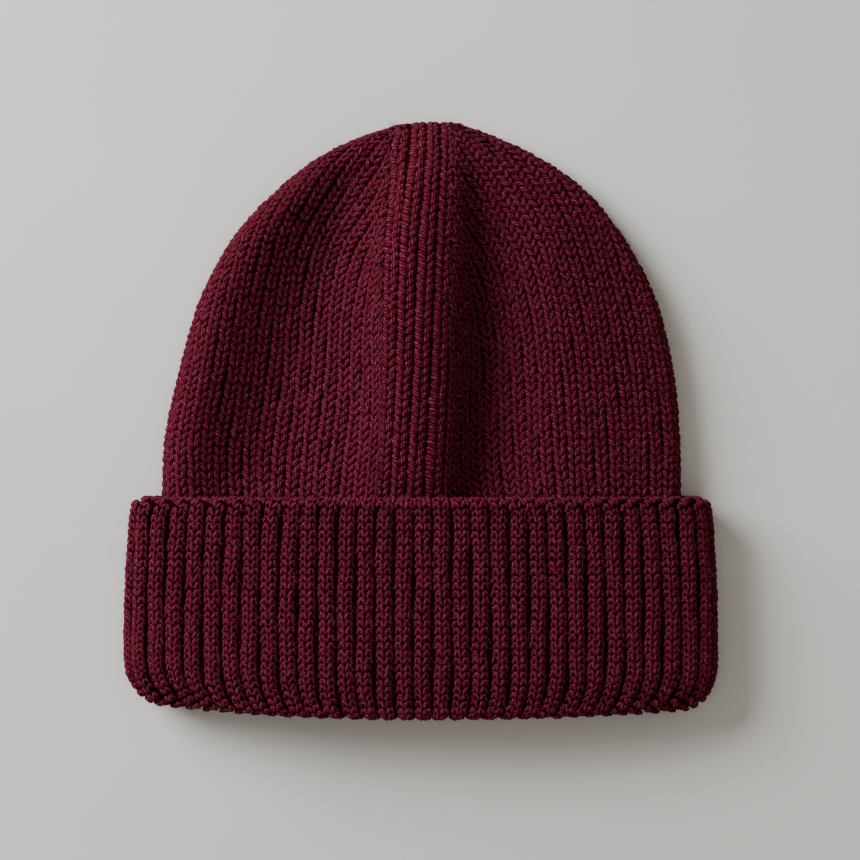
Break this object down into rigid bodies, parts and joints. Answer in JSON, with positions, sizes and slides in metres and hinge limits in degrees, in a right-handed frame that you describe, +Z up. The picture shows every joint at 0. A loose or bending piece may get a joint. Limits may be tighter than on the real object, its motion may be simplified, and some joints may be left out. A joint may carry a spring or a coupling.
{
  "type": "knitted beanie",
  "caption": "Chunky ribbed-knit beanie with a deep turned-up cuff and a ridged crown, lying flat, hollow and open at the mouth.",
  "frame": {"origin": "middle of the hat's outline, on the surface that it lies on", "axes": "+X across the hat, +Y from the mouth towards the tip of the crown, +Z up off the surface, through the hat's thickness"},
  "size_m": [0.22, 0.2196, 0.029],
  "materials": {
    "burgundy_wool": "matt plied wool, knitted in ribs"
  },
  "bodies": {
    "root": {"crown": "burgundy_wool", "cuff": "burgundy_wool"}
  },
  "joints": []
}
